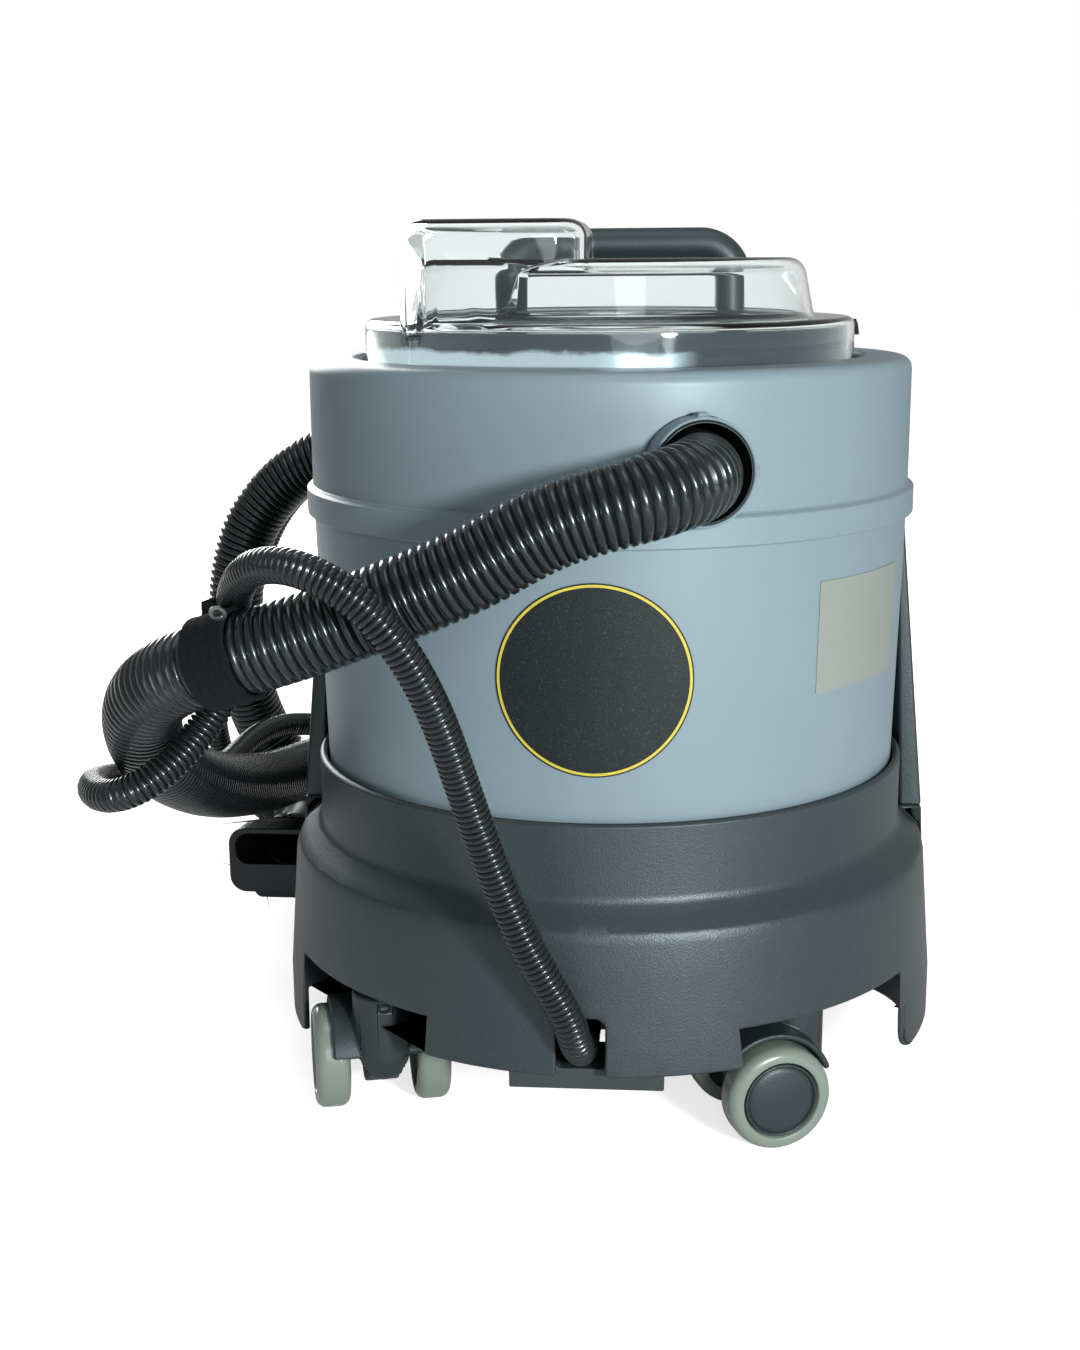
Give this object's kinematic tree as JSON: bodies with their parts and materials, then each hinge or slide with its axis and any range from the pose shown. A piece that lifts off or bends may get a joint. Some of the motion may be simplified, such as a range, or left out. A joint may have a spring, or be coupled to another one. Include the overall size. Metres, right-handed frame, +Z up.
{
  "type": "spot extractor",
  "caption": "Spot extractor with a clear lid, stacked recovery and solution tanks on a castor base, a coiled vacuum hose, a solution hose and a hand tool.",
  "frame": {"origin": "on the floor, under the middle of the machine's outline without its hoses and hand tool", "axes": "+Z up, -Y towards the front where the hoses leave, +X to the right seen from the front"},
  "size_m": [0.5457, 0.6238, 0.504],
  "materials": {
    "black_shell": "fine grain",
    "grey_tank": "satin",
    "clear_plastic": "clear",
    "gasket_pale": "satin",
    "polished_steel": "polished",
    "black_gloss": "gloss",
    "label_black": "fine grain",
    "label_silver": "satin",
    "hose_black": "satin",
    "strap_fabric": "fuzzy",
    "castor_black": "fine grain",
    "wheel_grey": "gloss",
    "zinc": "satin",
    "brass": "satin",
    "motor_dark": "satin",
    "seal_black": "matt",
    "duct_dark": "satin",
    "valve_white": "satin",
    "trigger_red": "satin",
    "rivet_pale": "satin",
    "plate_grey": "satin"
  },
  "bodies": {
    "machine": {"base_shell": "black_shell", "bottom_plate": "plate_grey", "case_screws": "zinc", "rear_tower": "black_shell", "shell_rivets": "rivet_pale", "pull_handle": "black_shell", "switch_panel": "black_shell", "cord_gland": "black_shell", "fan_housing": "zinc", "motor_body": "motor_dark", "motor_gasket": "seal_black", "motor_stand": "zinc", "solution_pump": "motor_dark", "pump_bracket": "zinc", "outlet_fitting": "brass", "tunnel_gasket": "seal_black", "solution_tank": "grey_tank", "tank_valve": "valve_white", "round_label": "label_black", "side_label": "label_silver", "recovery_tank": "grey_tank", "hose_cuff": "grey_tank", "cuff_ring": "black_gloss", "standpipe": "duct_dark", "intake_head": "duct_dark", "float_cage": "duct_dark", "neck_ring": "polished_steel", "lid_gasket": "gasket_pale", "vacuum_hose": "hose_black", "solution_hose": "hose_black", "hose_strap": "strap_fabric", "strap_eyelet": "zinc", "hose_hook": "motor_dark", "tool_holster": "black_shell", "tool_head": "black_gloss", "tool_tube": "black_shell", "tool_valve": "brass", "trigger_pin": "zinc", "spray_jet": "brass"},
    "lid": {"clear_lid": "clear_plastic", "lid_tab": "black_gloss"},
    "float": {"float_ball": "valve_white"},
    "vacuum_rocker": {"vacuum_switch": "black_gloss"},
    "pump_rocker": {"pump_switch": "black_gloss"},
    "fan": {"impeller": "zinc"},
    "trigger": {"tool_trigger": "trigger_red"},
    "stem": {"valve_stem": "zinc"},
    "swivel_fl": {"castor_fl": "castor_black"},
    "roll_fl_in": {"wheel_fl_in": "wheel_grey"},
    "roll_fl_out": {"wheel_fl_out": "wheel_grey"},
    "swivel_fr": {"castor_fr": "castor_black"},
    "roll_fr_in": {"wheel_fr_in": "wheel_grey"},
    "roll_fr_out": {"wheel_fr_out": "wheel_grey"},
    "swivel_rl": {"castor_rl": "castor_black"},
    "roll_rl_in": {"wheel_rl_in": "wheel_grey"},
    "roll_rl_out": {"wheel_rl_out": "wheel_grey"},
    "swivel_rr": {"castor_rr": "castor_black"},
    "roll_rr_in": {"wheel_rr_in": "wheel_grey"},
    "roll_rr_out": {"wheel_rr_out": "wheel_grey"}
  },
  "joints": [
    {"name": "lid_lift", "type": "slide", "parent": "machine", "child": "lid", "axis": [0, 0, 1], "range_m": [0, 0.09]},
    {"name": "float_rise", "type": "slide", "parent": "machine", "child": "float", "axis": [0, 0, 1], "range_m": [0, 0.012]},
    {"name": "vacuum_rock", "type": "hinge", "parent": "machine", "child": "vacuum_rocker", "pos_m": [0.074, 0.148, 0.33], "axis": [1, 0, 0], "range_deg": [0, 20]},
    {"name": "pump_rock", "type": "hinge", "parent": "machine", "child": "pump_rocker", "pos_m": [0.11, 0.148, 0.33], "axis": [1, 0, 0], "range_deg": [0, 20]},
    {"name": "fan_spin", "type": "hinge", "parent": "machine", "child": "fan", "pos_m": [-0.008, -0.0485, 0.125], "axis": [0, 0, 1], "continuous": true},
    {"name": "trigger_squeeze", "type": "hinge", "parent": "machine", "child": "trigger", "pos_m": [-0.211, 0.1325, 0.03], "axis": [1, 0, 0], "range_deg": [0, 6], "stiffness_Nm_per_rad": 0.1, "springref_deg": -8.59},
    {"name": "stem_push", "type": "slide", "parent": "machine", "child": "stem", "axis": [0, 0, 1], "range_m": [0, 0.0017]},
    {"name": "swivel_fl", "type": "hinge", "parent": "machine", "child": "swivel_fl", "pos_m": [-0.092, -0.1905, 0.082], "axis": [0, 0, 1], "continuous": true},
    {"name": "roll_fl_in", "type": "hinge", "parent": "swivel_fl", "child": "roll_fl_in", "pos_m": [-0.11798, -0.17469, 0.03], "axis": [-0.9659, -0.2588, 0], "continuous": true},
    {"name": "roll_fl_out", "type": "hinge", "parent": "swivel_fl", "child": "roll_fl_out", "pos_m": [-0.07741, -0.16381, 0.03], "axis": [-0.9659, -0.2588, 0], "continuous": true},
    {"name": "swivel_fr", "type": "hinge", "parent": "machine", "child": "swivel_fr", "pos_m": [0.142, -0.1765, 0.082], "axis": [0, 0, 1], "continuous": true},
    {"name": "roll_fr_in", "type": "hinge", "parent": "swivel_fr", "child": "roll_fr_in", "pos_m": [0.12851, -0.20376, 0.03], "axis": [0.342, -0.9397, 0], "continuous": true},
    {"name": "roll_fr_out", "type": "hinge", "parent": "swivel_fr", "child": "roll_fr_out", "pos_m": [0.11414, -0.16429, 0.03], "axis": [0.342, -0.9397, 0], "continuous": true},
    {"name": "swivel_rl", "type": "hinge", "parent": "machine", "child": "swivel_rl", "pos_m": [-0.09, 0.0635, 0.082], "axis": [0, 0, 1], "continuous": true},
    {"name": "roll_rl_in", "type": "hinge", "parent": "swivel_rl", "child": "roll_rl_in", "pos_m": [-0.10597, 0.08939, 0.03], "axis": [-0.9781, 0.2079, 0], "continuous": true},
    {"name": "roll_rl_out", "type": "hinge", "parent": "swivel_rl", "child": "roll_rl_out", "pos_m": [-0.06488, 0.08065, 0.03], "axis": [-0.9781, 0.2079, 0], "continuous": true},
    {"name": "swivel_rr", "type": "hinge", "parent": "machine", "child": "swivel_rr", "pos_m": [0.154, 0.0635, 0.082], "axis": [0, 0, 1], "continuous": true},
    {"name": "roll_rr_in", "type": "hinge", "parent": "swivel_rr", "child": "roll_rr_in", "pos_m": [0.12674, 0.07699, 0.03], "axis": [-0.9397, -0.342, 0], "continuous": true},
    {"name": "roll_rr_out", "type": "hinge", "parent": "swivel_rr", "child": "roll_rr_out", "pos_m": [0.16621, 0.09136, 0.03], "axis": [-0.9397, -0.342, 0], "continuous": true}
  ],
  "couplings": [
    {"joint": "stem_push", "follows": "trigger_squeeze", "m_per_rad": 0.015}
  ]
}
